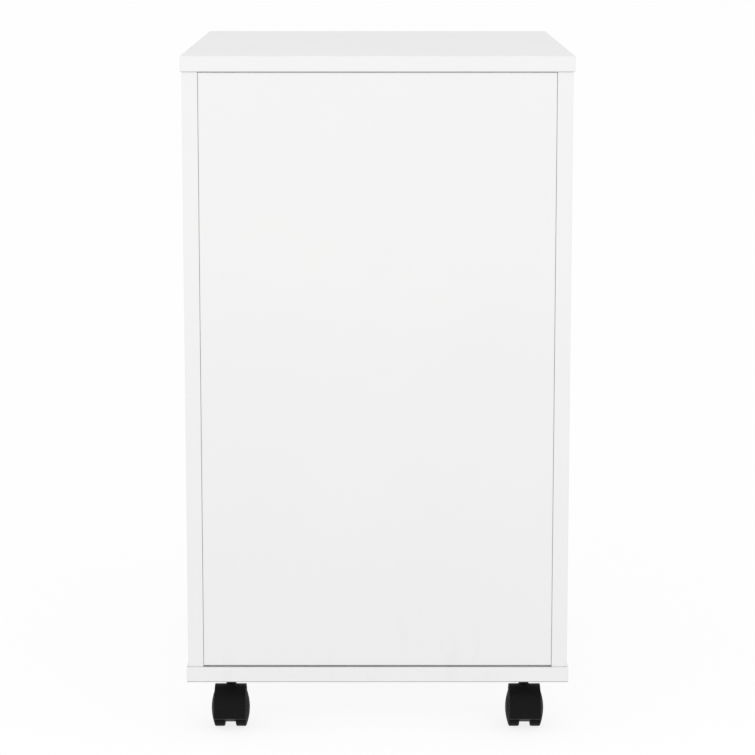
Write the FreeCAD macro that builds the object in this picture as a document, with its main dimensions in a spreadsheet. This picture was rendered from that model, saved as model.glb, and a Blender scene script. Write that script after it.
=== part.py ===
import FreeCAD, Part
import os
import re
from math import pi
import Sketcher

# A rolling pedestal cabinet: a laminate carcass on four twin-wheel casters, with two box drawers
# and one file drawer on telescopic slides. The drawers face -Y, the plain back faces +Y, Z is up,
# and the origin is on the floor, under the middle of the whole cabinet.

doc = FreeCAD.newDocument("RollingPedestal")
Vector = FreeCAD.Vector
nodes = []

# ---- driving dimensions, in millimetres ------------------------------------------------------

driving = {
    # carcass
    "top_width": 396,
    "top_depth": 517,
    "side_height": 615.2,
    "board": 15.9,
    "back_board": 15.9,
    "overhang": 1.6,
    "edge_round": 0.8,
    "back_side_gap": 0.3,
    "back_top_gap": 0.6,
    "back_base_gap": 1.5,
    # carcass fixings
    "cam_diameter": 15,
    "cam_length": 12.5,
    "cam_setback": 24,
    "bolt_diameter": 7,
    "bolt_thread": 5,
    "bolt_grip": 11,
    "dowel_diameter": 8,
    "dowel_grip": 11,
    "dowel_length": 30,
    "fixing_setback": 60,
    "fixing_pitch": 32,
    "fit_play": 0.05,
    # drawers
    "reveal": 3,
    "front_board": 15.9,
    "front_standoff": 2,
    "front_setback": 1,
    "box_board": 12,
    "box_bottom_board": 5,
    "groove_depth": 6,
    "groove_play": 0.2,
    "groove_rise": 12,
    "box_clearance": 25.6,
    "box_rise": 15,
    "box_headroom": 30.8,
    "file_headroom": 31.6,
    # slides
    "slide_height": 45,
    "slide_space": 12.7,
    "slide_metal": 1.2,
    "slide_play": 0.6,
    "slide_lip": 6.4,
    "slide_setback": 2,
    "box_slide_rise": 40,
    "file_slide_rise": 80,
    # hanging-file rails
    "rail_wall": 1.5,
    "rail_skirt": 10,
    "rail_blade": 9,
    "rail_setback": 4,
    # handles
    "handle_centres": 128,
    "handle_rod": 10,
    "handle_reach": 32,
    "handle_bend": 14,
    "handle_drop": 45,
    "screw_diameter": 4,
    "screw_head": 8,
    "screw_head_depth": 2.6,
    "screw_grip": 9,
    "screw_play": 0.25,
    # casters
    "mounting_height": 55,
    "caster_inset": 44,
    "wheel_diameter": 40,
    "tread_width": 11,
    "wheel_dome": 3.3,
    "wheel_round": 1.5,
    "wheel_play": 0.3,
    "hub_wall": 2.5,
    "trail": 15,
    "web_width": 10.7,
    "hood_width": 32.5,
    "hood_wall": 2.5,
    "hood_play": 2.2,
    "hood_clearance": 13.9,
    "web_clearance": 7,
    "boss_diameter": 18,
    "axle_diameter": 6,
    "bearing_play": 0.05,
    "stem_diameter": 10.4,
    "pintle_diameter": 7,
    "pintle_length": 18,
    "thrust_play": 0.1,
    "seat_play": 0.3,
    "nut_barrel": 13.5,
    "nut_flange": 26,
    "nut_flange_depth": 1.8,
}

# Sizes that follow from the ones above. Each is opened up into the sheet's cells where it is used.
worked_out = {
    "side_outer_width": "top_width - 2 * overhang",
    "inner_width": "side_outer_width - 2 * board",
    "base_under": "mounting_height",
    "base_over": "base_under + board",
    "top_under": "base_over + side_height",
    # from the front edge of the top panel, going back
    "front_face": "front_setback",
    "side_front": "front_face + front_board + front_standoff",
    "side_back": "top_depth - overhang",
    "side_depth": "side_back - side_front",
    # the handles stand out in front of the top, so the whole cabinet's middle is ahead of the top's
    "handle_overhang": "handle_reach - front_setback",
    "front_edge_y": "-(top_depth + handle_overhang) / 2 + handle_overhang",
    "back_edge_y": "front_edge_y + top_depth",
    "side_front_y": "front_edge_y + side_front",
    "side_back_y": "front_edge_y + side_back",
    "front_face_y": "front_edge_y + front_face",
    "front_back_y": "front_face_y + front_board",
    # drawers
    "front_unit": "(side_height - 4 * reveal) / 4",
    "box_width": "inner_width - 2 * slide_space",
    "box_depth": "side_depth + front_standoff - back_board - box_clearance",
    "box_drawer_height": "front_unit - box_rise - box_headroom",
    "file_drawer_height": "2 * front_unit - box_rise - file_headroom",
    "box_back_y": "front_back_y + box_depth",
    "slide_front_y": "side_front_y + slide_setback",
    "slide_length": "box_depth - slide_setback - front_standoff",
    "slide_back_y": "slide_front_y + slide_length",
    # casters
    "wheel_radius": "wheel_diameter / 2",
    "stem_x": "top_width / 2 - caster_inset",
    "stem_front_y": "front_edge_y + caster_inset",
    "stem_back_y": "back_edge_y - caster_inset",
    "cavity_radius": "wheel_radius + hood_play",
    "hood_radius": "cavity_radius + hood_wall",
    "hood_over": "wheel_radius + hood_radius",
    "seat_over": "wheel_radius + sqrt(hood_radius * hood_radius - trail * trail)",
    "wheel_inner": "web_width / 2 + wheel_play",
    "wheel_outer": "wheel_inner + tread_width",
}

sheet = doc.addObject("Spreadsheet::Sheet", "Sizes")
for row, (alias, size) in enumerate(driving.items(), start=1):
    sheet.set(f"A{row}", alias.replace("_", " "))
    sheet.set(f"B{row}", str(size))
    sheet.setAlias(f"B{row}", alias)
doc.recompute()


def formula(text):
    """Spells a sum of named sizes as an expression over the sheet's cells."""
    def spell(match):
        word = match.group()
        if word in worked_out:
            return f"({formula(worked_out[word])})"
        return f"Sizes.{word}" if word in driving else word
    return re.sub(r"[a-z][a-z_]*", spell, str(text))


def value(text):
    return float(sheet.evalExpression(formula(text)))


# ---- building with bodies, sketches and primitives -------------------------------------------

def plane(body, role):
    return next(item for item in body.Origin.OriginFeatures if item.Role == role)


def put(thing, x="0", y="0", z="0"):
    for letter, text in zip("xyz", (x, y, z)):
        thing.setExpression(f"Placement.Base.{letter}", formula(text))


def new_body(label, x="0", y="0", z="0"):
    body = doc.addObject("PartDesign::Body", label)
    body.Label = label
    put(body, x, y, z)
    nodes.append(body)
    return body


def new_sketch(body, name, role, offset="0"):
    sketch = body.newObject("Sketcher::SketchObject", name)
    sketch.AttachmentSupport = [(plane(body, role), "")]
    sketch.MapMode = "FlatFace"
    sketch.setExpression("AttachmentOffset.Base.z", formula(offset))
    return sketch


def tie(sketch, kind, where, text):
    """Adds a dimension to a sketch and binds it to the sheet."""
    index = sketch.addConstraint(Sketcher.Constraint(kind, *where, value(text)))
    sketch.setExpression(f"Constraints[{index}]", formula(text))


def polygon(sketch, corners):
    """Draws a closed outline through corners, each a pair of formulas."""
    points = [Vector(value(across), value(up), 0) for across, up in corners]
    for start, end in zip(points, points[1:] + points[:1]):
        sketch.addGeometry(Part.LineSegment(start, end), False)
    count = len(points)
    for index, (across, up) in enumerate(corners):
        sketch.addConstraint(Sketcher.Constraint("Coincident", index, 2, (index + 1) % count, 1))
        tie(sketch, "DistanceX", (-1, 1, index, 1), across)
        tie(sketch, "DistanceY", (-1, 1, index, 1), up)


def rectangle(sketch, left, right, low, high):
    polygon(sketch, [(left, low), (right, low), (right, high), (left, high)])


def circles(sketch, centres, diameter):
    for index, (across, up) in enumerate(centres):
        centre = Vector(value(across), value(up), 0)
        sketch.addGeometry(Part.Circle(centre, Vector(0, 0, 1), value(diameter) / 2), False)
        tie(sketch, "Diameter", (index,), diameter)
        tie(sketch, "DistanceX", (-1, 1, index, 3), across)
        tie(sketch, "DistanceY", (-1, 1, index, 3), up)


def pad(body, sketch, length, both_ways=False, backwards=False):
    feature = body.newObject("PartDesign::Pad", sketch.Name + "Pad")
    feature.Profile = sketch
    feature.setExpression("Length", formula(length))
    feature.Midplane = both_ways
    feature.Reversed = backwards
    doc.recompute()
    return feature


def pocket(body, sketch, depth, backwards=False):
    """Cuts a pocket, and makes sure that it took something away."""
    before = body.Shape.Volume
    feature = body.newObject("PartDesign::Pocket", sketch.Name + "Pocket")
    feature.Profile = sketch
    feature.setExpression("Length", formula(depth))
    feature.Reversed = backwards
    doc.recompute()
    if body.Shape.Volume > before - 1e-3:
        raise ValueError(f"{body.Label}: {sketch.Name} cuts nothing")
    return feature


def bore(body, name, role, offset, centres, diameter, depth, backwards=False):
    sketch = new_sketch(body, name, role, offset)
    circles(sketch, centres, diameter)
    return pocket(body, sketch, depth, backwards)


def turn(body, sketch, axis):
    feature = body.newObject("PartDesign::Revolution", sketch.Name + "Turn")
    feature.Profile = sketch
    feature.ReferenceAxis = (sketch, [axis])
    feature.Angle = 360
    doc.recompute()
    return feature


def round_edges(body, feature, radius):
    """Rounds every edge that the feature has so far."""
    doc.recompute()
    fillet = body.newObject("PartDesign::Fillet", body.Label + "_rounding")
    fillet.Base = (feature, [f"Edge{index + 1}" for index in range(len(feature.Shape.Edges))])
    fillet.setExpression("Radius", formula(radius))
    doc.recompute()


def mirror(body, features, roles):
    """Repeats features on the far side of each of the body's origin planes in turn."""
    pattern = body.newObject("PartDesign::MultiTransform", body.Label + "_mirrored")
    pattern.Originals = features
    steps = []
    for role in roles:
        step = doc.addObject("PartDesign::Mirrored", f"{body.Label}_{role}")
        step.MirrorPlane = (plane(body, role), [""])
        steps.append(step)
    pattern.Transformations = steps
    body.Tip = pattern
    doc.recompute()


def board(label, width, depth, height, x="0", y="0", z="0"):
    """A board with softened edges, centred on x, that runs back and up from y and z."""
    body = new_body(label, x, y, z)
    sketch = new_sketch(body, label + "_outline", "XY_Plane")
    rectangle(sketch, f"-({width}) / 2", f"({width}) / 2", "0", depth)
    round_edges(body, pad(body, sketch, height), "edge_round")
    return body


# ---- carcass boards --------------------------------------------------------------------------
# Two cam bolts and two dowels join each side to the top and to the base. The back panel hangs
# between the sides on two more of each per side.

side_middle_x = "(inner_width + board) / 2"
bolt_rows = ("fixing_setback", "side_depth - fixing_setback")
dowel_rows = ("fixing_setback + fixing_pitch", "side_depth - fixing_setback - fixing_pitch")
back_height = "side_height - back_top_gap - back_base_gap"
back_bolt_levels = ("fixing_setback", f"{back_height} - fixing_setback")
back_dowel_levels = ("fixing_setback + fixing_pitch", f"{back_height} - fixing_setback - fixing_pitch")


def end_board(label, level, fixing_face, backwards):
    """The top or the base, bored on the face that meets the sides."""
    body = board(label, "top_width", "top_depth", "board", "0", "front_edge_y", level)
    for kind, rows, diameter, depth in (
            ("bolts", bolt_rows, "bolt_thread", "bolt_grip"),
            ("dowels", dowel_rows, "dowel_diameter + 2 * fit_play", "dowel_grip + fit_play")):
        centres = [(f"{sign}{side_middle_x}", f"side_front + {row}")
                   for sign in ("-", "") for row in rows]
        bore(body, f"{label}_{kind}", "XY_Plane", fixing_face, centres, diameter, depth, backwards)
    return body


end_board("top_panel", "top_under", "0", True)
base_panel = end_board("base_panel", "base_under", "board", False)
stem_places = [(f"{sign}stem_x", row)
               for sign in ("-", "") for row in ("caster_inset", "top_depth - caster_inset")]
bore(base_panel, "tee_nut_bores", "XY_Plane", "board", stem_places, "nut_barrel + 2 * fit_play", "board")
bore(base_panel, "tee_nut_seats", "XY_Plane", "board", stem_places,
     "nut_flange + 2 * fit_play", "nut_flange_depth")

for side, sign in (("left", "-"), ("right", "")):
    label = f"{side}_side_panel"
    side_panel = board(label, "board", "side_depth", "side_height",
                       f"{sign}{side_middle_x}", "side_front_y", "base_over")
    for end, level, backwards in (("lower", "0", True), ("upper", "side_height", False)):
        for kind, rows, diameter, depth in (
                ("bolts", bolt_rows, "bolt_diameter + 2 * fit_play", "cam_setback"),
                ("dowels", dowel_rows, "dowel_diameter + 2 * fit_play",
                 "dowel_length - dowel_grip + fit_play")):
            bore(side_panel, f"{label}_{end}_{kind}", "XY_Plane", level,
                 [("0", row) for row in rows], diameter, depth, backwards)
    # cam bores open on the inner face, which is at +X on the left side and at -X on the right
    inner_face = "board / 2" if sign else "-board / 2"
    cams = [(row, level) for row in bolt_rows for level in ("cam_setback", "side_height - cam_setback")]
    bore(side_panel, f"{label}_cams", "YZ_Plane", inner_face, cams,
         "cam_diameter + 2 * fit_play", "cam_length", not sign)
    back_row = "side_depth - back_board / 2"
    bore(side_panel, f"{label}_back_bolts", "YZ_Plane", inner_face,
         [(back_row, f"back_base_gap + {level}") for level in back_bolt_levels],
         "bolt_thread", "bolt_grip", not sign)
    bore(side_panel, f"{label}_back_dowels", "YZ_Plane", inner_face,
         [(back_row, f"back_base_gap + {level}") for level in back_dowel_levels],
         "dowel_diameter + 2 * fit_play", "dowel_grip + fit_play", not sign)

back_panel = board("back_panel", "inner_width - 2 * back_side_gap", "back_board", back_height,
                   "0", "side_back_y - back_board", "base_over + back_base_gap")
back_edge = "(inner_width / 2 - back_side_gap)"
for side, offset, backwards in (("left", f"-{back_edge}", True), ("right", back_edge, False)):
    bore(back_panel, f"back_panel_{side}_bolts", "YZ_Plane", offset,
         [("back_board / 2", level) for level in back_bolt_levels],
         "bolt_diameter + 2 * fit_play", "cam_setback", backwards)
    bore(back_panel, f"back_panel_{side}_dowels", "YZ_Plane", offset,
         [("back_board / 2", level) for level in back_dowel_levels],
         "dowel_diameter + 2 * fit_play", "dowel_length - dowel_grip + fit_play", backwards)
bore(back_panel, "back_panel_cams", "XZ_Plane", "0",
     [(f"{sign}({back_edge} - cam_setback)", level) for sign in ("-", "") for level in back_bolt_levels],
     "cam_diameter + 2 * fit_play", "cam_length")

# ---- carcass fixings: each kind is one node of separate solids --------------------------------
# The bodies sit at the middle of the side panels, so that mirroring reaches every corner.

side_bolt_row = "side_depth / 2 - fixing_setback"
side_dowel_row = f"{side_bolt_row} - fixing_pitch"
back_row = "side_depth / 2 - back_board / 2"
back_inner = "side_depth / 2 - back_board"
all_planes = ("YZ_Plane", "XZ_Plane", "XY_Plane")


def fixing_body(label):
    return new_body(label, "0", "(side_front_y + side_back_y) / 2", "base_over + side_height / 2")


def levels_from_middle(levels):
    return [f"back_base_gap + {level} - side_height / 2" for level in levels]


def rods(body, name, role, offset, centres, diameter, length, backwards=False):
    sketch = new_sketch(body, name, role, offset)
    circles(sketch, centres, diameter)
    return pad(body, sketch, length, backwards=backwards)


cams = fixing_body("carcass_cam_locks")
side_cam = rods(cams, "side_cam", "YZ_Plane", "inner_width / 2",
                [(side_bolt_row, "side_height / 2 - cam_setback")], "cam_diameter", "cam_length - fit_play")
side_slot = bore(cams, "side_cam_slot", "XY_Plane", "side_height / 2",
                 [(side_middle_x, side_bolt_row)], "bolt_diameter + 2 * fit_play", "cam_setback")
mirror(cams, [side_cam, side_slot], all_planes)
back_cams = rods(cams, "back_cams", "XZ_Plane", f"-({back_inner})",
                 [(f"{back_edge} - cam_setback", level) for level in levels_from_middle(back_bolt_levels)],
                 "cam_diameter", "cam_length - fit_play", backwards=True)
back_slots = bore(cams, "back_cam_slots", "YZ_Plane", back_edge,
                  [(back_row, level) for level in levels_from_middle(back_bolt_levels)],
                  "bolt_diameter + 2 * fit_play", "cam_setback")
mirror(cams, [back_cams, back_slots], ("YZ_Plane",))

bolts = fixing_body("carcass_cam_bolts")
side_threads = rods(bolts, "side_thread", "XY_Plane", "side_height / 2",
                    [(side_middle_x, side_bolt_row)], "bolt_thread", "bolt_grip")
side_shanks = rods(bolts, "side_shank", "XY_Plane", "side_height / 2",
                   [(side_middle_x, side_bolt_row)], "bolt_diameter", "cam_setback", backwards=True)
mirror(bolts, [side_threads, side_shanks], all_planes)
back_bolt_places = [(back_row, level) for level in levels_from_middle(back_bolt_levels)]
back_threads = rods(bolts, "back_thread", "YZ_Plane", "inner_width / 2", back_bolt_places,
                    "bolt_thread", "bolt_grip")
back_shanks = rods(bolts, "back_shank", "YZ_Plane", "inner_width / 2", back_bolt_places,
                   "bolt_diameter", "cam_setback + back_side_gap", backwards=True)
mirror(bolts, [back_threads, back_shanks], ("YZ_Plane",))

dowels = fixing_body("carcass_dowels")
side_dowel = rods(dowels, "side_dowel", "XY_Plane", "side_height / 2 + dowel_grip",
                  [(side_middle_x, side_dowel_row)], "dowel_diameter", "dowel_length", backwards=True)
mirror(dowels, [side_dowel], all_planes)
back_dowels = rods(dowels, "back_dowels", "YZ_Plane", "inner_width / 2 + dowel_grip",
                   [(back_row, level) for level in levels_from_middle(back_dowel_levels)],
                   "dowel_diameter", "dowel_length", backwards=True)
mirror(dowels, [back_dowels], ("YZ_Plane",))

# ---- drawer slides ---------------------------------------------------------------------------
# Three nested channels, drawn across the slide. The outer one is screwed to the carcass, the inner
# one to the drawer box, and the middle one runs half as far as the drawer.

slide_half = "slide_height / 2"
middle_half = "(slide_height / 2 - slide_lip - slide_play)"
inner_half = f"({middle_half} - slide_metal - slide_play)"


def off_wall(sign, distance):
    """A place across the slide, measured from the carcass wall on that side."""
    return f"{sign}(inner_width / 2 - ({distance}))"


def channel(sign, web, reach, half, lip=None):
    """A channel's outline: its web, its two flanges and, on the outer member, two lips."""
    far = f"({web} + slide_metal)" if value(reach) > value(web) else f"({web} - slide_metal)"
    tip = f"({reach} - slide_metal)"
    upper = [(web, half), (reach, half)]
    if lip:
        upper += [(reach, f"{half} - {lip}"), (tip, f"{half} - {lip}"), (tip, f"{half} - slide_metal")]
    else:
        upper += [(reach, f"{half} - slide_metal")]
    upper += [(far, f"{half} - slide_metal")]
    lower = [(distance, f"-({level})") for distance, level in reversed(upper)]
    return [(off_wall(sign, distance), level) for distance, level in upper + lower]


def slide_member(body, corners):
    sketch = new_sketch(body, body.Label + "_section", "XZ_Plane")
    polygon(sketch, corners)
    return pad(body, sketch, "slide_length")


def slides(name, level):
    """Both slides of one drawer, centred on a level."""
    place = ("0", "slide_back_y", level)
    outer = new_body(f"{name}_outer_slides", *place)
    outer_reach = "(slide_space - 2 * slide_metal - slide_play)"
    section = channel("", "0", outer_reach, slide_half, "slide_lip")
    mirror(outer, [slide_member(outer, section)], ("YZ_Plane",))
    for side, sign in (("left", "-"), ("right", "")):
        middle = new_body(f"{name}_{side}_middle_slide", *place)
        web = "(slide_metal + slide_play)"
        slide_member(middle, channel(sign, web, "slide_space - slide_metal - slide_play", middle_half))
    inner = new_body(f"{name}_inner_slides", *place)
    mirror(inner, [slide_member(inner, channel("", "slide_space", "(slide_space / 2)", inner_half))],
           ("YZ_Plane",))


# ---- drawers ---------------------------------------------------------------------------------

bottom_level = "(box_rise + groove_rise)"
groove_height = "(box_bottom_board + groove_play)"
inside_width = "(box_width - 2 * box_board)"
bottom_width = f"({inside_width} + 2 * groove_depth - groove_play)"


def drawer_front(name, level, height):
    front = board(f"{name}_front", "side_outer_width", "front_board", height, "0", "front_face_y", level)
    screws = [(f"{sign}handle_centres / 2", f"{height} - handle_drop") for sign in ("-", "")]
    bore(front, f"{name}_handle_holes", "XZ_Plane", "0", screws,
         "screw_diameter + 2 * screw_play", "front_board")
    groove = new_sketch(front, f"{name}_front_groove", "XZ_Plane", "-front_board")
    rectangle(groove, f"-{inside_width} / 2 - groove_depth", f"{inside_width} / 2 + groove_depth",
              bottom_level, f"{bottom_level} + {groove_height}")
    pocket(front, groove, "groove_depth", backwards=True)


def drawer_box(name, level, height):
    """Two grooved sides, a back between them, and a bottom that slides in from behind."""
    box_level = f"{level} + box_rise"
    groove_top = f"groove_rise + {groove_height}"
    for side, sign in (("left", "-"), ("right", "")):
        body = new_body(f"{name}_box_{side}_side", "0", "box_back_y", box_level)
        outer, inner = (f"{sign}(box_width / 2{less})" for less in ("", " - box_board"))
        root = f"{sign}(box_width / 2 - box_board + groove_depth)"
        sketch = new_sketch(body, body.Label + "_section", "XZ_Plane")
        polygon(sketch, [(outer, "0"), (inner, "0"), (inner, "groove_rise"), (root, "groove_rise"),
                         (root, groove_top), (inner, groove_top), (inner, height), (outer, height)])
        pad(body, sketch, "box_depth")
    back = new_body(f"{name}_box_back", "0", "box_back_y", box_level)
    sketch = new_sketch(back, back.Label + "_section", "XZ_Plane")
    rectangle(sketch, f"-{inside_width} / 2", f"{inside_width} / 2", groove_top, height)
    pad(back, sketch, "box_board")
    bottom = new_body(f"{name}_box_bottom", "0", "box_back_y", box_level)
    sketch = new_sketch(bottom, bottom.Label + "_section", "XZ_Plane")
    rectangle(sketch, f"-{bottom_width} / 2", f"{bottom_width} / 2",
              "groove_rise", "groove_rise + box_bottom_board")
    pad(bottom, sketch, "box_depth + groove_depth - groove_play")


def bow(sketch):
    """A handle's centre line: out from the front, along, and back, with round corners."""
    half, bend = value("handle_centres / 2"), value("handle_bend")
    depth = value("handle_reach - handle_rod / 2")
    turns = [Part.Circle(Vector(x, bend - depth, 0), Vector(0, 0, 1), bend)
             for x in (bend - half, half - bend)]
    sketch.addGeometry([
        Part.LineSegment(Vector(-half, 0, 0), Vector(-half, bend - depth, 0)),
        Part.ArcOfCircle(turns[0], pi, 1.5 * pi),
        Part.LineSegment(Vector(bend - half, -depth, 0), Vector(half - bend, -depth, 0)),
        Part.ArcOfCircle(turns[1], 1.5 * pi, 2 * pi),
        Part.LineSegment(Vector(half, bend - depth, 0), Vector(half, 0, 0)),
    ], False)
    for first, last in ((0, 1), (1, 2), (2, 3), (3, 4)):
        sketch.addConstraint(Sketcher.Constraint("Tangent", first, 2, last, 1))
    sketch.addConstraint(Sketcher.Constraint("Vertical", 0))
    sketch.addConstraint(Sketcher.Constraint("Vertical", 4))
    tie(sketch, "Radius", (1,), "handle_bend")
    tie(sketch, "Radius", (3,), "handle_bend")
    for line, end, sign in ((0, 1, "-"), (4, 2, "")):
        tie(sketch, "DistanceX", (-1, 1, line, end), f"{sign}handle_centres / 2")
        tie(sketch, "DistanceY", (-1, 1, line, end), "0")
    tie(sketch, "DistanceY", (-1, 1, 2, 1), "handle_rod / 2 - handle_reach")


def handle(name, level):
    """A bent rod with a tapped hole in each foot, and its two screws from inside the drawer."""
    feet = [(f"{sign}handle_centres / 2", "0") for sign in ("-", "")]
    body = new_body(f"{name}_handle", "0", "front_face_y", level)
    path = new_sketch(body, f"{name}_handle_path", "XY_Plane")
    bow(path)
    section = new_sketch(body, f"{name}_handle_section", "XZ_Plane")
    circles(section, feet[:1], "handle_rod")
    pipe = body.newObject("PartDesign::AdditivePipe", f"{name}_handle_rod")
    pipe.Profile = section
    pipe.Spine = (path, [])
    doc.recompute()
    bore(body, f"{name}_handle_taps", "XZ_Plane", "0", feet, "screw_diameter", "screw_grip", backwards=True)
    screws = new_body(f"{name}_handle_screws", "0", "front_face_y", level)
    rods(screws, f"{name}_screw_shanks", "XZ_Plane", "-front_board", feet,
         "screw_diameter", "front_board + screw_grip")
    rods(screws, f"{name}_screw_heads", "XZ_Plane", "-front_board", feet,
         "screw_head", "screw_head_depth", backwards=True)


def drawer(name, level, front_height, box_height, slide_rise):
    drawer_front(name, level, front_height)
    drawer_box(name, level, box_height)
    handle(name, f"{level} + {front_height} - handle_drop")
    slides(name, f"{level} + box_rise + {slide_rise}")


file_level = "(base_over + reveal)"
middle_level = f"({file_level} + 2 * front_unit + reveal)"
upper_level = f"({middle_level} + front_unit + reveal)"
drawer("upper_drawer", upper_level, "front_unit", "box_drawer_height", "box_slide_rise")
drawer("middle_drawer", middle_level, "front_unit", "box_drawer_height", "box_slide_rise")
drawer("file_drawer", file_level, "(2 * front_unit)", "file_drawer_height", "file_slide_rise")

# The rails clip over the tops of the file drawer's sides and carry the hooks of hanging files.
rails = new_body("file_drawer_hanger_rails", "0", "box_back_y - box_board - rail_setback",
                 f"{file_level} + box_rise + file_drawer_height")
rail_outer = "(box_width / 2 + rail_wall + fit_play)"
rail_inner = "(box_width / 2 - box_board - rail_wall - fit_play)"
rail_section = new_sketch(rails, "rail_section", "XZ_Plane")
polygon(rail_section, [
    (rail_outer, "-rail_skirt"), (rail_outer, "rail_wall"), (f"{rail_inner} + rail_wall", "rail_wall"),
    (f"{rail_inner} + rail_wall", "rail_blade"), (rail_inner, "rail_blade"), (rail_inner, "-rail_skirt"),
    (f"{rail_inner} + rail_wall", "-rail_skirt"), (f"{rail_inner} + rail_wall", "0"),
    (f"{rail_outer} - rail_wall", "0"), (f"{rail_outer} - rail_wall", "-rail_skirt"),
])
mirror(rails, [pad(rails, rail_section, "box_depth - box_board - 2 * rail_setback")], ("YZ_Plane",))

# ---- casters ---------------------------------------------------------------------------------
# Each stem screws into a tee nut in the base. The hood swivels on the stem's pintle, and trails its
# axle behind the stem. At rest all four trail towards the back.

stem_under = "(seat_over + thrust_play)"
caster_middle_y = "(stem_front_y + stem_back_y) / 2"
corner = [("stem_x", "(top_depth / 2 - caster_inset)")]

tee_nuts = new_body("caster_tee_nuts", "0", caster_middle_y, "base_under")
barrel = rods(tee_nuts, "nut_barrel", "XY_Plane", "0", corner, "nut_barrel", "board")
flange = rods(tee_nuts, "nut_flange", "XY_Plane", "board", corner, "nut_flange", "nut_flange_depth",
              backwards=True)
thread = bore(tee_nuts, "nut_thread", "XY_Plane", "board", corner, "stem_diameter", "board")
mirror(tee_nuts, [barrel, flange, thread], all_planes[:2])

stems = new_body("caster_stems", "0", caster_middle_y, "0")
shank = rods(stems, "stem_shank", "XY_Plane", stem_under, corner, "stem_diameter",
             f"base_over - {stem_under}")
pintle = rods(stems, "stem_pintle", "XY_Plane", stem_under, corner, "pintle_diameter", "pintle_length",
              backwards=True)
mirror(stems, [shank, pintle], all_planes[:2])


def hood(label, x, y):
    """A web between the wheels that carries the axle, a fender over them and a boss for the stem."""
    body = new_body(label, x, y, "0")
    sketch = new_sketch(body, label + "_side", "YZ_Plane")
    drop = "(wheel_radius - hood_clearance)"
    heel = f"trail + sqrt(hood_radius * hood_radius - {drop} * {drop})"
    # the brow is cut off 30 degrees above the axle, and the heel at the clearance over the floor
    brow = "trail - hood_radius * sqrt(3) / 2"
    corners = [(brow, "wheel_radius + hood_radius / 2"), (brow, "wheel_radius"),
               ("trail / 2", "web_clearance"), ("trail + wheel_radius / 2", "web_clearance"),
               (heel, "hood_clearance")]
    points = [Vector(value(along), value(up), 0) for along, up in corners]
    for start, end in zip(points, points[1:]):
        sketch.addGeometry(Part.LineSegment(start, end), False)
    crown = Vector(value("trail"), value("wheel_radius + hood_radius"), 0)
    sketch.addGeometry(Part.Arc(points[-1], crown, points[0]), False)
    for index in range(len(points)):
        sketch.addConstraint(Sketcher.Constraint("Coincident", index, 2, (index + 1) % len(points), 1))
    for index, (along, up) in enumerate(corners):
        tie(sketch, "DistanceX", (-1, 1, index, 1), along)
        tie(sketch, "DistanceY", (-1, 1, index, 1), up)
    tie(sketch, "Radius", (len(points) - 1,), "hood_radius")
    pad(body, sketch, "hood_width", both_ways=True)
    rods(body, label + "_boss", "XY_Plane", "seat_over", [("0", "0")], "boss_diameter",
         "seat_over - wheel_radius - hood_radius / 2", backwards=True)
    axle_place = [("trail", "wheel_radius")]
    for side, offset, backwards in (("left", "-web_width / 2", False), ("right", "web_width / 2", True)):
        bore(body, f"{label}_{side}_cavity", "YZ_Plane", offset, axle_place,
             "2 * cavity_radius", "hood_width / 2", backwards)
    bore(body, label + "_axle_hole", "YZ_Plane", "-web_width / 2", axle_place,
         "axle_diameter", "web_width", backwards=True)
    bore(body, label + "_stem_seat", "XY_Plane", "hood_over", [("0", "0")],
         "stem_diameter + 2 * seat_play", "hood_over - seat_over")
    bore(body, label + "_pintle_hole", "XY_Plane", "seat_over", [("0", "0")],
         "pintle_diameter + 2 * bearing_play", "pintle_length + thrust_play")


def wheel(label, x, y, sign):
    """A domed wheel with a blind bore, turned about X."""
    body = new_body(label, x, y, "wheel_radius")
    sketch = new_sketch(body, label + "_section", "XZ_Plane")
    bore_radius = "axle_diameter / 2 + bearing_play"
    corners = [(f"{sign}({across})", up) for across, up in (
        ("wheel_outer + wheel_dome", "0"), ("wheel_outer - hub_wall", "0"),
        ("wheel_outer - hub_wall", bore_radius), ("wheel_inner", bore_radius),
        ("wheel_inner", "wheel_radius - wheel_round"), ("wheel_inner + wheel_round", "wheel_radius"),
        ("wheel_outer - wheel_round", "wheel_radius"), ("wheel_outer", "wheel_radius - wheel_round"))]
    if not sign:
        corners.reverse()  # an arc runs anticlockwise, so each side starts at the arc's other end
    points = [Vector(value(across), value(up), 0) for across, up in corners]
    for start, end in zip(points, points[1:]):
        sketch.addGeometry(Part.LineSegment(start, end), False)
    rim_radius, dome = value("wheel_radius - wheel_round"), value("wheel_dome")
    dome_radius = (rim_radius ** 2 + dome ** 2) / (2 * dome)
    swing = (dome_radius ** 2 - (rim_radius / 2) ** 2) ** 0.5 - dome_radius
    apex = value(f"{sign}(wheel_outer + wheel_dome)")
    bulge = Vector(apex - swing if sign else apex + swing, rim_radius / 2, 0)
    sketch.addGeometry(Part.Arc(points[-1], bulge, points[0]), False)
    for index in range(len(points)):
        sketch.addConstraint(Sketcher.Constraint("Coincident", index, 2, (index + 1) % len(points), 1))
    for index, (across, up) in enumerate(corners):
        tie(sketch, "DistanceX", (-1, 1, index, 1), across)
        tie(sketch, "DistanceY", (-1, 1, index, 1), up)
    sketch.addConstraint(Sketcher.Constraint("PointOnObject", len(points) - 1, 3, -1))
    turn(body, sketch, "H_Axis")


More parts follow.
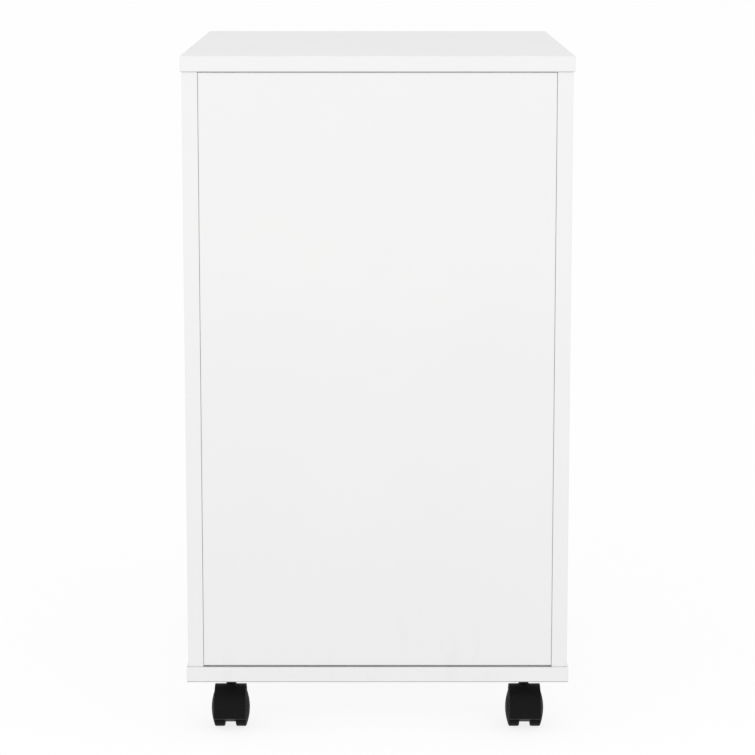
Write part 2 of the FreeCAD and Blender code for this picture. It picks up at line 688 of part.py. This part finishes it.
for end, stem_y in (("front", "stem_front_y"), ("back", "stem_back_y")):
    for side, sign in (("left", "-"), ("right", "")):
        name = f"{end}_{side}_caster"
        stem_x = f"{sign}stem_x"
        axle_y = f"{stem_y} + trail"
        hood(f"{name}_hood", stem_x, stem_y)
        axle = new_body(f"{name}_axle", stem_x, axle_y, "wheel_radius")
        axle_section = new_sketch(axle, f"{name}_axle_section", "YZ_Plane")
        circles(axle_section, [("0", "0")], "axle_diameter")
        pad(axle, axle_section, "2 * (wheel_outer - hub_wall - wheel_play)", both_ways=True)
        wheel(f"{name}_left_wheel", stem_x, axle_y, "-")
        wheel(f"{name}_right_wheel", stem_x, axle_y, "")

# ---- check and write -------------------------------------------------------------------------

doc.recompute()
for item in doc.Objects:
    if {"Invalid", "Error"} & set(item.State):
        raise ValueError(f"{item.Label} is {item.State}")
for node in nodes:
    if node.Shape.isNull() or not node.Shape.isValid():
        raise ValueError(f"{node.Label} has no valid shape")

os.makedirs("parts", exist_ok=True)
for node in nodes:
    node.Shape.exportStep(f"parts/{node.Label}.step")
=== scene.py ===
import math

import bmesh
import bpy
from mathutils import Matrix, Vector


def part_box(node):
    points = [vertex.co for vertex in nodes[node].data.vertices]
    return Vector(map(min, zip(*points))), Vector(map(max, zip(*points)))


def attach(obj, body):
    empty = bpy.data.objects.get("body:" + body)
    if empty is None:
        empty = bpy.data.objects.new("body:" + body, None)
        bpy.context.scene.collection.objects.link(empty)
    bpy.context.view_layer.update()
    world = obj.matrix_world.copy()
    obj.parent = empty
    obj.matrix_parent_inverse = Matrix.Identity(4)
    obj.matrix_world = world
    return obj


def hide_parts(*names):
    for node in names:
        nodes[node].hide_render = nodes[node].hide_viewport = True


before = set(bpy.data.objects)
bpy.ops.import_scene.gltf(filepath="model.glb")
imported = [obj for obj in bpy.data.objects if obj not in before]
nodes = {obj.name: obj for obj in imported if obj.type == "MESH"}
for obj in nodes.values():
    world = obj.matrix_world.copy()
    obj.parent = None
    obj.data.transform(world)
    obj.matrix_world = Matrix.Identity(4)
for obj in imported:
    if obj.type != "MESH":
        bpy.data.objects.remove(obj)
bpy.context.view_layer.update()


# ---- carcass boards ----------------------------------------------------------------------------
# Top, base, sides and back are 15.9 mm particle board with a pearl-textured white laminate on both
# faces. Every edge carries a glued 1 mm band, whose seam shows as a hairline just in from the arris.
# Each board's lower arris also carries a thin line of painted shade.

class Level:
    """A number that varies over a surface. Sums written with it become Math nodes."""

    def __init__(self, finish, socket):
        self.finish = finish
        self.socket = socket

    def step(self, operation, *terms):
        return self.finish.node("ShaderNodeMath", {"operation": operation}, dict(enumerate(terms)))

    def __add__(self, other):
        return self.step("ADD", self, other)

    def __sub__(self, other):
        return self.step("SUBTRACT", self, other)

    def __rsub__(self, other):
        return self.step("SUBTRACT", other, self)

    def __mul__(self, other):
        return self.step("MULTIPLY", self, other)

    def __lt__(self, other):
        return self.step("LESS_THAN", self, other)

    def __abs__(self):
        return self.step("ABSOLUTE", self)

    def least(self, other):
        return self.step("MINIMUM", self, other)

    def fade(self, start, end):
        """Runs smoothly from 0 at start to 1 at end."""
        return self.finish.node("ShaderNodeMapRange", {"interpolation_type": "SMOOTHSTEP"},
                                {"Value": self, "From Min": start, "From Max": end})

    __radd__ = __add__
    __rmul__ = __mul__


class Finish:
    """One material: fixed numbers sit on its shader, and node() adds whatever varies."""

    def __init__(self, name, **fixed):
        self.material = bpy.data.materials.new(name)
        self.material.use_nodes = True
        self.tree = self.material.node_tree
        self.shader = self.tree.nodes["Principled BSDF"]
        for socket, number in fixed.items():
            self.shader.inputs[socket.replace("_", " ")].default_value = number
        self.place = self.node("ShaderNodeTexCoord", output="Object")

    def node(self, kind, settings=None, sockets=None, output=0):
        made = self.tree.nodes.new(kind)
        for setting, choice in (settings or {}).items():
            setattr(made, setting, choice)
        for socket, thing in (sockets or {}).items():
            self.join(thing, made.inputs[socket])
        return Level(self, made.outputs[output])

    def join(self, thing, socket):
        if isinstance(thing, Level):
            self.tree.links.new(thing.socket, socket)
        else:
            socket.default_value = thing

    def axis(self, letter):
        return self.node("ShaderNodeSeparateXYZ", None, {0: self.place}, output=letter)

    def grain(self, scale, detail=2.0, stretch=(1, 1, 1), rough=0.5):
        """Noise whose spots are about 1 / scale metres across, drawn out along an axis by stretch."""
        spread = self.node("ShaderNodeVectorMath", {"operation": "MULTIPLY"},
                           {0: self.place, 1: Vector(scale / part for part in stretch)})
        return self.node("ShaderNodeTexNoise", None,
                         {"Vector": spread, "Scale": 1.0, "Detail": detail, "Roughness": rough})

    def blend(self, amount, first, second):
        """A colour between two colours."""
        return self.node("ShaderNodeMix", {"data_type": "RGBA"}, {0: amount, 6: first, 7: second}, output=2)

    def wear(self, colour, roughness, relief, depth):
        """Joins what varies to the shader. Relief is depth metres high where it reaches 1."""
        self.join(colour, self.shader.inputs["Base Color"])
        self.join(roughness, self.shader.inputs["Roughness"])
        bump = self.node("ShaderNodeBump", None, {"Strength": 1.0, "Distance": depth, "Height": relief})
        self.join(bump, self.shader.inputs["Normal"])
        return self.material


def rgb(red, green, blue):
    return (red, green, blue, 1.0)


def dress(node, material):
    """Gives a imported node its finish."""
    mesh = nodes[node].data
    mesh.materials.clear()
    mesh.materials.append(material)


LAMINATE_WHITE = rgb(0.772, 0.772, 0.769)
LAMINATE_SHADE = rgb(0.762, 0.763, 0.762)
SEAM_GREY = rgb(0.60, 0.59, 0.57)
SCUFF_GREY = rgb(0.62, 0.61, 0.59)
# The grey that the painted shade along each board's lower arris is blended towards.
ARRIS_SHADE_GREY = rgb(0.30, 0.29, 0.28)
BAND = 0.001
SEAM = 0.00018
ARRIS = 0.0009


def laminate(node, white=LAMINATE_WHITE, shade=LAMINATE_SHADE, gloss=0.42, pearl=0.00003, arris_shade=0.3):
    """Pearl laminate for one board, with its edge bands' seams, and painted shade along its lower arris."""
    low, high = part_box(node)
    finish = Finish(f"{node}_laminate", IOR=1.48)
    inset = [(finish.axis(letter) - low[i]).least(high[i] - finish.axis(letter))
             for i, letter in enumerate("XYZ")]
    thin = min(range(3), key=lambda i: high[i] - low[i])
    on_face = inset[thin] < BAND / 2
    from_edge = inset[(thin + 1) % 3].least(inset[(thin + 2) % 3])
    seam = on_face * (1 - abs(from_edge - BAND).fade(0.0, SEAM))
    cloud = finish.grain(5.0, 3.0)
    smudge = finish.grain(14.0, 4.0, rough=0.65).fade(0.52, 0.78)
    scuff = finish.grain(60.0, 5.0, (1, 1, 4)).fade(0.60, 0.72) * (1 - finish.axis("Z").fade(0.06, 0.16))
    colour = finish.blend(cloud.fade(0.3, 0.7), white, shade)
    colour = finish.blend(scuff * 0.10, colour, SCUFF_GREY)
    colour = finish.blend(seam * 0.55, colour, SEAM_GREY)
    # Painted shade: a thin line along the lower arris is darkened towards grey, standing in for the shade
    # beneath the board.
    shaded_lower_arris = (inset[thin] < ARRIS) * (from_edge < ARRIS) * (finish.axis("Z") < low.z + ARRIS)
    colour = finish.blend(shaded_lower_arris * arris_shade, colour, ARRIS_SHADE_GREY)
    roughness = gloss + smudge * 0.08 + cloud * 0.05 - on_face * 0.02
    relief = finish.grain(1500.0, 2.0) * 0.8 + finish.grain(90.0, 1.0) * 0.2 - seam * 0.5
    return finish.wear(colour, roughness, relief, pearl)


for board in ("top_panel", "left_side_panel", "right_side_panel", "back_panel"):
    dress(board, laminate(board))
# The base panel's lower arris gets the strongest painted shade.
dress("base_panel", laminate("base_panel", arris_shade=0.9))


# ---- carcass fixings ---------------------------------------------------------------------------
# Die-cast zinc cams grip steel bolts, and beech dowels keep the boards in line. A cam's face has a
# rim and a cross recess, and turning it with a screwdriver draws the joint tight.

def zinc(name, tone=rgb(0.60, 0.61, 0.63), bright=rgb(0.70, 0.71, 0.74), gloss=0.32, along=(1, 1, 1)):
    """Zinc with a soft spangle. Rolled steel shows it drawn out along the strip."""
    finish = Finish(name, Metallic=1.0)
    spangle = finish.grain(160.0, 3.0, along, 0.6)
    streak = finish.grain(900.0, 2.0, along)
    colour = finish.blend(spangle.fade(0.35, 0.65), tone, bright)
    return finish.wear(colour, gloss + spangle * 0.10 + streak * 0.05, streak, 0.000012)


def beech(name):
    """Raw beech, its flecks drawn out along the dowel."""
    finish = Finish(name)
    fleck = finish.grain(700.0, 3.0, (1, 1, 6)).fade(0.45, 0.62)
    colour = finish.blend(fleck, rgb(0.60, 0.42, 0.25), rgb(0.42, 0.26, 0.14))
    return finish.wear(colour, 0.62 + fleck * 0.12, fleck, 0.00006)


ROUND_STEPS = 40
SHARP_FROM = math.radians(32)
BLADE_TAPER = 0.45


def turned(outline):
    """A closed mesh turned about Z through an outline of (radius, height) pairs from axis to axis."""
    work = bmesh.new()
    rings = []
    for radius, height in outline:
        if radius == 0.0:
            rings.append([work.verts.new((0.0, 0.0, height))])
            continue
        turns = [math.tau * step / ROUND_STEPS for step in range(ROUND_STEPS)]
        rings.append([work.verts.new((radius * math.cos(turn), radius * math.sin(turn), height))
                      for turn in turns])
    for first, second in zip(rings, rings[1:]):
        for step in range(ROUND_STEPS):
            after = (step + 1) % ROUND_STEPS
            corners = [first[step], first[after]] if len(first) > 1 else [first[0]]
            corners += [second[after], second[step]] if len(second) > 1 else [second[0]]
            work.faces.new(corners)
    bmesh.ops.recalc_face_normals(work, faces=work.faces)
    mesh = bpy.data.meshes.new("turned")
    work.to_mesh(mesh)
    work.free()
    return mesh


def arc(centre, radius, start, end, steps=6):
    """Points of a circle in the outline's plane, its angles in degrees from the axis's normal."""
    turns = [math.radians(start + (end - start) * step / steps) for step in range(steps + 1)]
    return [(centre[0] + radius * math.cos(turn), centre[1] + radius * math.sin(turn)) for turn in turns]


def crossed(mesh, level, reach, width, depth):
    """The mesh with a tapered cross recess cut down into it from a level."""
    work = bmesh.new()
    for turn in (0.0, math.pi / 2):
        blade = bmesh.ops.create_cube(work, size=1.0)["verts"]
        for corner in blade:
            taper = 1.0 if corner.co.z > 0 else BLADE_TAPER
            corner.co = Vector((corner.co.x * 2 * reach * taper, corner.co.y * width,
                                level - depth if corner.co.z < 0 else level + depth))
        bmesh.ops.rotate(work, verts=blade, matrix=Matrix.Rotation(turn, 3, "Z"))
    blades = bpy.data.meshes.new("blades")
    work.to_mesh(blades)
    work.free()
    blank = bpy.data.objects.new("blank", mesh)
    cutter = bpy.data.objects.new("cutter", blades)
    for thing in (blank, cutter):
        bpy.context.scene.collection.objects.link(thing)
    cut = blank.modifiers.new("recess", "BOOLEAN")
    cut.object = cutter
    cut.solver = "EXACT"
    cut.use_self = True
    bpy.context.view_layer.update()
    pressed = bpy.data.meshes.new_from_object(blank.evaluated_get(bpy.context.evaluated_depsgraph_get()))
    bpy.data.objects.remove(blank)
    bpy.data.objects.remove(cutter)
    return pressed


def both_sides(x, rows, levels, outward=1):
    """Places on the left and the right at the same x from the middle, each with the way it faces."""
    return [(Vector((side * x, row, level)), (side * outward, 0, 0))
            for side in (-1, 1) for row in rows for level in levels]


def set_out(name, shape, spots, material, body):
    """One piece made of copies of a shape, with its Z facing each spot's direction."""
    work = bmesh.new()
    for place, direction in spots:
        swing = Vector((0, 0, 1)).rotation_difference(Vector(direction)).to_matrix().to_4x4()
        start = len(work.verts)
        work.from_mesh(shape)
        work.verts.ensure_lookup_table()
        bmesh.ops.transform(work, matrix=Matrix.Translation(place) @ swing, verts=work.verts[start:])
    mesh = bpy.data.meshes.new(name)
    work.to_mesh(mesh)
    work.free()
    mesh.materials.append(material)
    mesh.shade_smooth()
    mesh.set_sharp_from_angle(angle=SHARP_FROM)
    piece = bpy.data.objects.new(name, mesh)
    bpy.context.scene.collection.objects.link(piece)
    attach(piece, body)
    return piece


SINK = 0.0001
EASE = 0.0003
CAM_RADIUS = 0.0075
CAM_PROUD = 0.0003
CAM_RIM = 0.0016
CAM_RIM_FOOT = 0.0018
CAM_DISH = 0.00015
CAM_CROSS = {"reach": 0.0038, "width": 0.0011, "depth": 0.0003}
CAM_SETBACK = 0.024
ROW_SETBACK = 0.060

cam_outline = [(0.0, -SINK), (CAM_RADIUS, -SINK), (CAM_RADIUS, CAM_PROUD * 0.6),
               (CAM_RADIUS - EASE, CAM_PROUD), (CAM_RADIUS - CAM_RIM, CAM_PROUD),
               (CAM_RADIUS - CAM_RIM_FOOT, CAM_PROUD - CAM_DISH), (0.0, CAM_PROUD - CAM_DISH)]
cam_face = crossed(turned(cam_outline), CAM_PROUD, **CAM_CROSS)
cam_zinc = zinc("cam_zinc", gloss=0.42)
side_low, side_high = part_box("right_side_panel")
rows = (side_low.y + ROW_SETBACK, side_high.y - ROW_SETBACK)
levels = (side_low.z + CAM_SETBACK, side_high.z - CAM_SETBACK)
set_out("carcass_cam_faces", cam_face, both_sides(side_low.x, rows, levels, outward=-1),
        cam_zinc, "carcass")
dress("carcass_cam_locks", cam_zinc)
dress("carcass_cam_bolts", zinc("bolt_zinc"))
dress("carcass_dowels", beech("dowel_beech"))
dress("caster_tee_nuts", zinc("tee_nut_zinc"))


# ---- drawer slides -----------------------------------------------------------------------------
# Each slide is three cold-rolled channels in bright zinc, nested in each other. The middle one runs
# half as far as the drawer, which then comes right out of the carcass.

DRAWERS = ("upper_drawer", "middle_drawer", "file_drawer")
slide_zinc = zinc("slide_zinc", gloss=0.26, along=(1, 30, 1))
for name in nodes:
    if name.endswith(("_slides", "_slide")):
        dress(name, slide_zinc)


# ---- slide screws ------------------------------------------------------------------------------
# Three pan-head screws in bright zinc hold each slide's inner member to the drawer's side. Their
# heads are pressed with a cross recess, and sit inside the channel.

PAN_RADIUS = 0.0035
PAN_HEIGHT = 0.0020
PAN_EASE = 0.0010
PAN_CROSS = {"reach": 0.0018, "width": 0.0008, "depth": 0.0011}
CHANNEL_WALL = 0.0012
SCREW_SHARES = (0.08, 0.42, 0.86)

pan_outline = ([(0.0, -SINK), (PAN_RADIUS, -SINK)]
               + arc((PAN_RADIUS - PAN_EASE, PAN_HEIGHT - PAN_EASE), PAN_EASE, 0, 75)
               + [(0.0, PAN_HEIGHT)])
pan_head = crossed(turned(pan_outline), PAN_HEIGHT, **PAN_CROSS)
screw_zinc = zinc("screw_zinc", gloss=0.25)


def in_channel(drawer, shares, proud=0.0):
    """Places inside both inner slide members, at shares of their length and on their middle line."""
    low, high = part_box(f"{drawer}_inner_slides")
    rows = [low.y + (high.y - low.y) * share for share in shares]
    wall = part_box(f"{drawer}_box_right_side")[1].x + CHANNEL_WALL
    return both_sides(wall + proud, rows, [(low.z + high.z) / 2])


for drawer in DRAWERS:
    set_out(f"{drawer}_slide_screws", pan_head, in_channel(drawer, SCREW_SHARES),
            screw_zinc, drawer)


# ---- release levers ----------------------------------------------------------------------------
# A thin black plastic lever is riveted inside each slide's inner member. Pressing its paddle frees
# the member's catch, and the drawer then lifts out.

PIVOT_SHARE = 0.30
PIVOT_RADIUS = 0.0050
ARM_HALF = 0.0022
PADDLE_HALF = 0.0060
PADDLE_START = 0.0300
PADDLE_END = 0.0430
PADDLE_ROUND = 0.0035
LEVER_THICK = 0.0016
RIVET_RADIUS = 0.0022
RIVET_HEIGHT = 0.0008


def moulded_lever():
    """A flat lever that runs along Y from its round pivot to its paddle, eased along its upper edges."""
    left = [(-out, along) for along, out in arc((0.0, 0.0), PIVOT_RADIUS, 180, 30, 10)]
    left += [(-ARM_HALF, 2 * PIVOT_RADIUS), (-ARM_HALF, PADDLE_START - ARM_HALF),
             (-PADDLE_HALF, PADDLE_START + ARM_HALF)]
    left += [(-out, along) for along, out in
             arc((PADDLE_END - PADDLE_ROUND, PADDLE_HALF - PADDLE_ROUND), PADDLE_ROUND, 90, 0)]
    right = [(-out, along) for out, along in reversed(left[1:])]
    work = bmesh.new()
    sheet = work.faces.new([work.verts.new((out, along, -SINK)) for out, along in left + right])
    raised = bmesh.ops.extrude_face_region(work, geom=[sheet])["geom"]
    upper = [thing for thing in raised if isinstance(thing, bmesh.types.BMVert)]
    bmesh.ops.translate(work, vec=(0.0, 0.0, LEVER_THICK + SINK), verts=upper)
    upper_edges = [edge for edge in work.edges if all(corner in upper for corner in edge.verts)]
    bmesh.ops.bevel(work, geom=upper_edges, offset=EASE, segments=2, profile=0.5, affect="EDGES")
    bmesh.ops.recalc_face_normals(work, faces=work.faces)
    mesh = bpy.data.meshes.new("lever")
    work.to_mesh(mesh)
    work.free()
    return mesh


def domed_rivet():
    """A rivet head turned as a low half ellipse."""
    turns = [math.radians(angle) for angle in (15, 32, 50, 70)]
    crown = [(RIVET_RADIUS * math.cos(turn), RIVET_HEIGHT * math.sin(turn)) for turn in turns]
    return turned([(0.0, 0.0), (RIVET_RADIUS, 0.0)] + crown + [(0.0, RIVET_HEIGHT)])


def black_nylon(name, tone=rgb(0.0045, 0.0045, 0.005), gloss=0.50, mould=2200.0, shine=0.13):
    """Moulded black nylon with a fine spark texture and a little dust."""
    finish = Finish(name, Specular_IOR_Level=shine)
    dust = finish.grain(120.0, 4.0, rough=0.6).fade(0.55, 0.85)
    colour = finish.blend(dust * 0.12, tone, rgb(0.05, 0.048, 0.045))
    spark = finish.grain(mould, 2.0)
    return finish.wear(colour, gloss + dust * 0.15 + spark * 0.05, spark, 0.00002)


lever = moulded_lever()
rivet = domed_rivet()
lever_plastic = black_nylon("lever_plastic", rgb(0.012, 0.012, 0.013), 0.40)
for drawer in DRAWERS:
    set_out(f"{drawer}_slide_levers", lever, in_channel(drawer, [PIVOT_SHARE]),
            lever_plastic, drawer)
    set_out(f"{drawer}_lever_rivets", rivet, in_channel(drawer, [PIVOT_SHARE], proud=LEVER_THICK),
            screw_zinc, drawer)


# ---- drawers -----------------------------------------------------------------------------------
# Each box is grooved 12 mm board in plain matt white, with a thin faced fibreboard bottom slid into
# the grooves from behind. The front is the same laminate as the carcass.

BOX_WHITE = rgb(0.74, 0.74, 0.73)
BOX_SHADE = rgb(0.71, 0.71, 0.70)


def faced_fibreboard(name):
    """Fibreboard with a printed white face, a little uneven over the fibres."""
    finish = Finish(name)
    fleck = finish.grain(260.0, 4.0).fade(0.35, 0.75)
    colour = finish.blend(fleck, rgb(0.70, 0.69, 0.67), rgb(0.66, 0.65, 0.62))
    return finish.wear(colour, 0.55 + fleck * 0.12, fleck, 0.00003)


for drawer in DRAWERS:
    dress(f"{drawer}_front", laminate(f"{drawer}_front"))
    for piece in ("box_left_side", "box_right_side", "box_back"):
        board = f"{drawer}_{piece}"
        dress(board, laminate(board, BOX_WHITE, BOX_SHADE, 0.52, 0.00002))
    dress(f"{drawer}_box_bottom", faced_fibreboard(f"{drawer}_bottom_face"))


# ---- drawer box fixings ------------------------------------------------------------------------
# Two zinc cams in each side pull the front on, and two flat-headed screws in each side hold the
# back. The screws stand just proud of the laminate.

FLAT_RADIUS = 0.0040
FLAT_PROUD = 0.0003
FLAT_CROSS = {"reach": 0.0022, "width": 0.0009, "depth": 0.0003}
FIXING_DROP = 0.016
CAM_RISE = 0.032
SCREW_RISE = 0.0128

flat_outline = [(0.0, -SINK), (FLAT_RADIUS, -SINK), (FLAT_RADIUS, FLAT_PROUD * 0.5),
                (FLAT_RADIUS - EASE, FLAT_PROUD), (0.0, FLAT_PROUD)]
flat_head = crossed(turned(flat_outline), FLAT_PROUD, **FLAT_CROSS)
for drawer in DRAWERS:
    side_low, side_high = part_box(f"{drawer}_box_right_side")
    back_low, back_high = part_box(f"{drawer}_box_back")
    upper_level = side_high.z - FIXING_DROP
    cam_spots = both_sides(side_low.x, [side_low.y + CAM_SETBACK],
                           (side_low.z + CAM_RISE, upper_level), outward=-1)
    set_out(f"{drawer}_box_cams", cam_face, cam_spots, cam_zinc, drawer)
    screw_spots = both_sides(side_high.x, [(back_low.y + back_high.y) / 2],
                             (side_low.z + SCREW_RISE, upper_level))
    set_out(f"{drawer}_box_screws", flat_head, screw_spots, screw_zinc, drawer)


# ---- bumpers -----------------------------------------------------------------------------------
# Soft clear domes stuck inside each front's corners take the knock as the drawer closes against
# the carcass edges.

BUMPER_RADIUS = 0.0040
BUMPER_HEIGHT = 0.0016
BUMPER_INSET = 0.0080
BUMPER_RISE = 0.0150


def soft_rubber(name):
    """Milky polyurethane that has picked up a little dust."""
    finish = Finish(name, IOR=1.45, Transmission_Weight=0.25)
    dust = finish.grain(800.0, 3.0).fade(0.5, 0.8)
    colour = finish.blend(dust, rgb(0.78, 0.79, 0.78), rgb(0.62, 0.62, 0.60))
    return finish.wear(colour, 0.28 + dust * 0.25, dust, 0.00001)


crown = BUMPER_RADIUS ** 2 / (2 * BUMPER_HEIGHT) + BUMPER_HEIGHT / 2
slope = math.degrees(math.asin((crown - BUMPER_HEIGHT) / crown))
bumper_dome = turned([(0.0, -SINK), (BUMPER_RADIUS, -SINK)]
                     + arc((0.0, BUMPER_HEIGHT - crown), crown, slope, 88, 8) + [(0.0, BUMPER_HEIGHT)])
bumper_rubber = soft_rubber("bumper_rubber")
for drawer in DRAWERS:
    low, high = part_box(f"{drawer}_front")
    levels = (low.z + BUMPER_RISE, high.z - BUMPER_RISE)
    corners = [(place, (0, 1, 0)) for place, sideways in both_sides(high.x - BUMPER_INSET, [high.y], levels)]
    set_out(f"{drawer}_bumpers", bumper_dome, corners, bumper_rubber, drawer)


# ---- handles -----------------------------------------------------------------------------------
# Each handle is a bow bent from 10 mm steel rod and satin plated. Two zinc screws, driven from inside
# the drawer, hold its feet against the front.

def satin_plate(name):
    """Satin plate, brushed along the rod and a little dulled where fingers touch it."""
    finish = Finish(name, Metallic=1.0)
    brushing = finish.grain(2600.0, 2.0, (40, 1, 1))
    touch = finish.grain(45.0, 3.0).fade(0.5, 0.8)
    colour = finish.blend(touch, rgb(0.47, 0.46, 0.445), rgb(0.42, 0.41, 0.395))
    return finish.wear(colour, 0.22 + brushing * 0.10 + touch * 0.08, brushing, 0.000006)


handle_plate = satin_plate("handle_satin_plate")
for drawer in DRAWERS:
    dress(f"{drawer}_handle", handle_plate)
    dress(f"{drawer}_handle_screws", screw_zinc)


# ---- hanging-file rails ------------------------------------------------------------------------
# Two extruded black plastic strips clip over the tops of the file drawer's sides, and folders hang
# from their lips.

dress("file_drawer_hanger_rails", black_nylon("rail_extrusion", rgb(0.010, 0.010, 0.011), 0.42, 1200.0))


# ---- caster hoods, axles and stems -------------------------------------------------------------
# Each hood is one nylon moulding: a web between the wheels, a fender over them and a seat for the
# stem. The axle is plain turned steel, and the stem is black steel screwed into the base.

hood_nylon = black_nylon("hood_nylon", shine=0.10)
axle_steel = zinc("axle_steel", rgb(0.42, 0.42, 0.43), rgb(0.50, 0.50, 0.51), 0.3)


def black_oxide(name):
    """Blackened steel with a slight bloom."""
    finish = Finish(name, Metallic=1.0)
    bloom = finish.grain(500.0, 3.0)
    colour = finish.blend(bloom, rgb(0.03, 0.03, 0.032), rgb(0.05, 0.05, 0.054))
    return finish.wear(colour, 0.38 + bloom * 0.12, bloom, 0.00001)


dress("caster_stems", black_oxide("stem_black_oxide"))
for name in nodes:
    if name.endswith("_hood"):
        dress(name, hood_nylon)
    elif name.endswith("_axle"):
        dress(name, axle_steel)


# ---- caster wheels -----------------------------------------------------------------------------
# Hard black nylon, moulded with a domed face, a ring round the hub and a fine parting line on the
# tread. The inner face is dished round the hub, and a blind bore takes the axle.

TREAD_ROUND = 0.0015
WHEEL_DOME = 0.0033
RING_WIDTH = 0.0008
RING_DEPTH = 0.0004
RING_RADIUS = 0.0125
HUB_RADIUS = 0.0050
HUB_WALL = 0.0025
DISH_DEPTH = 0.0012
DISH_SLOPE = 0.0006
DISH_LIP = 0.0022
DISH_FOOT = 0.0030
PARTING_RIDGE = 0.00008
PARTING_HALF = 0.0002
BORE_PLAY = 0.00005


def wheel_outline(radius, width, bore):
    """Half of the wheel's section, from the end of its bore round the dish and the tread to its crown."""
    rim = radius - TREAD_ROUND
    face = width - WHEEL_DOME
    ridge = radius - PARTING_RIDGE
    dome_radius = (rim ** 2 + WHEEL_DOME ** 2) / (2 * WHEEL_DOME)

    def on_dome(out, sunk=0.0):
        return (out, width - dome_radius + math.sqrt(dome_radius ** 2 - out ** 2) - sunk)

    bore_end = face - HUB_WALL
    outline = [(0.0, bore_end), (bore, bore_end), (bore, 0.0), (HUB_RADIUS + DISH_SLOPE, 0.0),
               (HUB_RADIUS + 2 * DISH_SLOPE, DISH_DEPTH), (rim - DISH_FOOT, DISH_DEPTH),
               (rim - DISH_LIP, 0.0), (rim, 0.0)]
    outline += arc((rim, TREAD_ROUND), TREAD_ROUND - PARTING_RIDGE, -90, 0)[1:]
    outline += [(ridge, face / 2 - PARTING_HALF), (radius, face / 2), (ridge, face / 2 + PARTING_HALF)]
    outline += arc((rim, face - TREAD_ROUND), TREAD_ROUND - PARTING_RIDGE, 0, 90)[:-1]
    outline += [on_dome(rim * share) for share in (0.985, 0.93, 0.86, 0.78)]
    for ring in (RING_RADIUS, HUB_RADIUS):
        level = on_dome(ring, RING_DEPTH)[1]
        outline += [on_dome(ring + RING_WIDTH), (ring + RING_WIDTH / 2, level),
                    (ring - RING_WIDTH / 2, level), on_dome(ring - RING_WIDTH)]
        outline += [on_dome(ring * share) for share in (0.80, 0.62)]
    return outline + [on_dome(rim * 0.08), (0.0, width)]


wheel_nylon = black_nylon("wheel_nylon", rgb(0.0035, 0.0035, 0.004), 0.50, shine=0.05)
for name in nodes:
    if name.endswith("_wheel"):
        caster, side = name.removesuffix("_wheel").rsplit("_", 1)
        low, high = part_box(name)
        axle_low, axle_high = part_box(f"{caster}_axle")
        bore = (axle_high.z - axle_low.z) / 2 + BORE_PLAY
        outward = -1 if side == "left" else 1
        inner_face = high.x if side == "left" else low.x
        hub = Vector((inner_face, (low.y + high.y) / 2, (low.z + high.z) / 2))
        shape = turned(wheel_outline((high.z - low.z) / 2, high.x - low.x, bore))
        wheel = set_out(f"{name}_moulding", shape, [(hub, (outward, 0, 0))],
                        wheel_nylon, name)
        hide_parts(name)


# ---- studio ------------------------------------------------------------------------------------
# A pale floor that glows a little lies under an even white dome. One long soft light hangs on the
# side of the plain back, and neither the camera nor a reflection sees it.

STUDIO_WHITE = rgb(0.99, 0.99, 0.99)
FLOOR_SIZE = 60.0
FLOOR_GLOW = 1.01
GLOW_SHARE = 0.82
CAMERA_DISTANCE = 2.83
CAMERA_HEIGHT = 0.862
CAMERA_TILT = math.radians(9.75)
CAMERA_LENS = 134.3
CAMERA_SENSOR = 36.0

bpy.ops.mesh.primitive_plane_add(size=FLOOR_SIZE, location=(0, 0, 0))
floor = bpy.context.object
floor.name = "studio_floor"
paint = Finish("floor_paint", Base_Color=rgb(0.95, 0.95, 0.95), Roughness=0.9, Specular_IOR_Level=0.0)
glow = paint.node("ShaderNodeEmission", None, {"Color": STUDIO_WHITE, "Strength": FLOOR_GLOW})
lit = Level(paint, paint.shader.outputs[0])
mixed = paint.node("ShaderNodeMixShader", None, {0: GLOW_SHARE, 1: lit, 2: glow})
paint.join(mixed, paint.tree.nodes["Material Output"].inputs["Surface"])
floor.data.materials.append(paint.material)

world = bpy.data.worlds.new("white_dome")
bpy.context.scene.world = world
world.use_nodes = True
dome = world.node_tree.nodes["Background"]
dome.inputs["Color"].default_value = STUDIO_WHITE
dome.inputs["Strength"].default_value = 1.0


def panel_light(name, place, aim, width, height, power):
    """A rectangular lamp that lights the object but isn't seen."""
    lamp = bpy.data.lights.new(name, "AREA")
    lamp.shape = "RECTANGLE"
    lamp.size = width
    lamp.size_y = height
    lamp.energy = power
    stand = bpy.data.objects.new(name, lamp)
    bpy.context.scene.collection.objects.link(stand)
    stand.visible_camera = False
    stand.visible_glossy = False
    stand.location = place
    stand.rotation_euler = (Vector(aim) - Vector(place)).to_track_quat("-Z", "Y").to_euler()


panel_light("back_panel_light", place=(0.0, 1.5, 1.0), aim=(0.0, 0.27, 0.65),
            width=2.0, height=0.25, power=4.3)

camera_data = bpy.data.cameras.new("view_camera")
camera = bpy.data.objects.new("view_camera", camera_data)
bpy.context.scene.collection.objects.link(camera)
back_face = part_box("back_panel")[1].y
camera.location = (0.0, back_face + CAMERA_DISTANCE, CAMERA_HEIGHT)
camera.rotation_euler = (math.pi / 2 - CAMERA_TILT, 0.0, math.pi)
camera_data.sensor_width = CAMERA_SENSOR
camera_data.lens = CAMERA_LENS
camera_data.clip_end = 100.0
bpy.context.scene.camera = camera
bpy.context.scene.view_settings.view_transform = "Standard"
